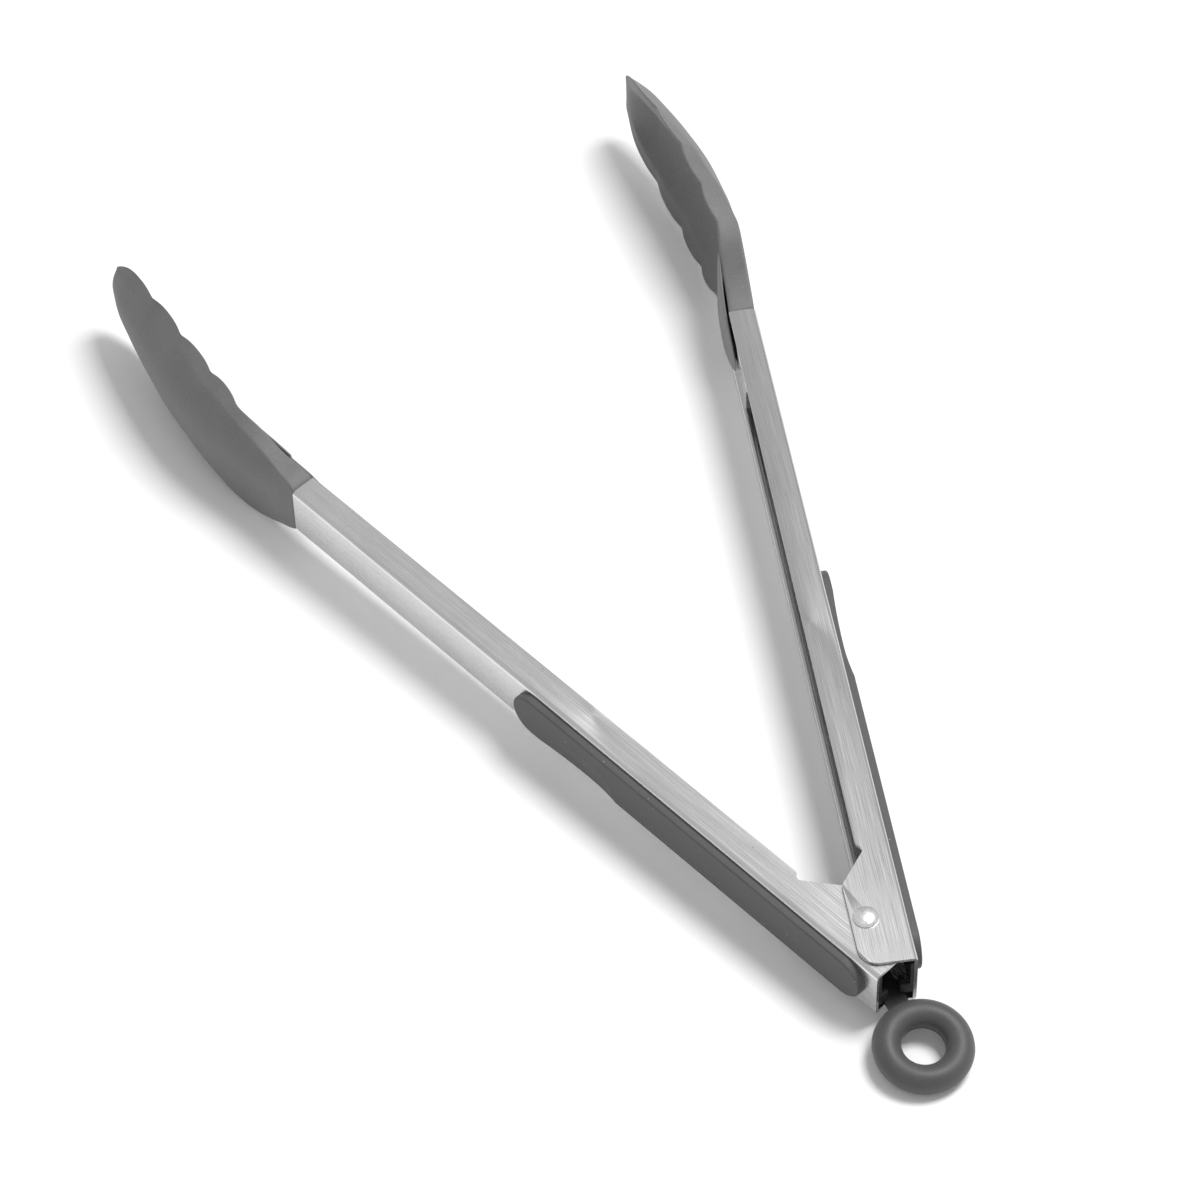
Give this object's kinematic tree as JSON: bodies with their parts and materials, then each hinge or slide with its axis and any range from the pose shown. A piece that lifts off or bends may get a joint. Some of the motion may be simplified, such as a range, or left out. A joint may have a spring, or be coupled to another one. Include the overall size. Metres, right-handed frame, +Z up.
{
  "type": "spring loaded kitchen tongs",
  "caption": "Long spring loaded kitchen tongs: brushed steel channel arms with silicone scoop jaws and grips, opened by a torsion spring and locked shut by a pull ring.",
  "frame": {"origin": "on the surface the tongs lie on, under the middle of their box", "axes": "+Z up, along the pivot rivet; +Y from the pull ring to the jaws, along the line midway between the arms; +X across, towards the outer arm"},
  "size_m": [0.1534, 0.2981, 0.0324],
  "materials": {
    "arm_steel": "brushed lengthwise",
    "rivet_steel": "polished",
    "spring_steel": "drawn wire",
    "jaw_silicone": "matte",
    "grip_silicone": "matte",
    "ring_silicone": "matte",
    "core_steel": "brushed",
    "strip_nylon": "matte"
  },
  "bodies": {
    "outer_arm": {"outer_arm": "arm_steel", "outer_grip": "grip_silicone", "outer_jaw": "jaw_silicone", "outer_jaw_core": "core_steel", "outer_catch": "strip_nylon", "pivot_rivet": "rivet_steel"},
    "inner_arm": {"inner_arm": "arm_steel", "inner_grip": "grip_silicone", "inner_jaw": "jaw_silicone", "inner_jaw_core": "core_steel", "inner_catch": "strip_nylon"},
    "spring": {"torsion_spring": "spring_steel"},
    "lock": {"lock_strip": "strip_nylon", "pull_ring": "ring_silicone"}
  },
  "joints": [
    {"name": "arm_squeeze", "type": "hinge", "parent": "outer_arm", "child": "inner_arm", "pos_m": [0, -0.11017, 0.01623], "axis": [0, 0, -1], "range_deg": [0, 30.5], "stiffness_Nm_per_rad": 0.5, "springref_deg": -17.19, "deforming": ["torsion_spring"]},
    {"name": "spring_centring", "type": "hinge", "parent": "outer_arm", "child": "spring", "pos_m": [0, -0.11017, 0.01623], "axis": [0, 0, -1], "range_deg": [0, 15.25]},
    {"name": "lock_pull", "type": "slide", "parent": "spring", "child": "lock", "axis": [0, -1, 0], "range_m": [0, 0.008]}
  ],
  "couplings": [
    {"joint": "spring_centring", "follows": "arm_squeeze", "ratio": 0.5}
  ]
}
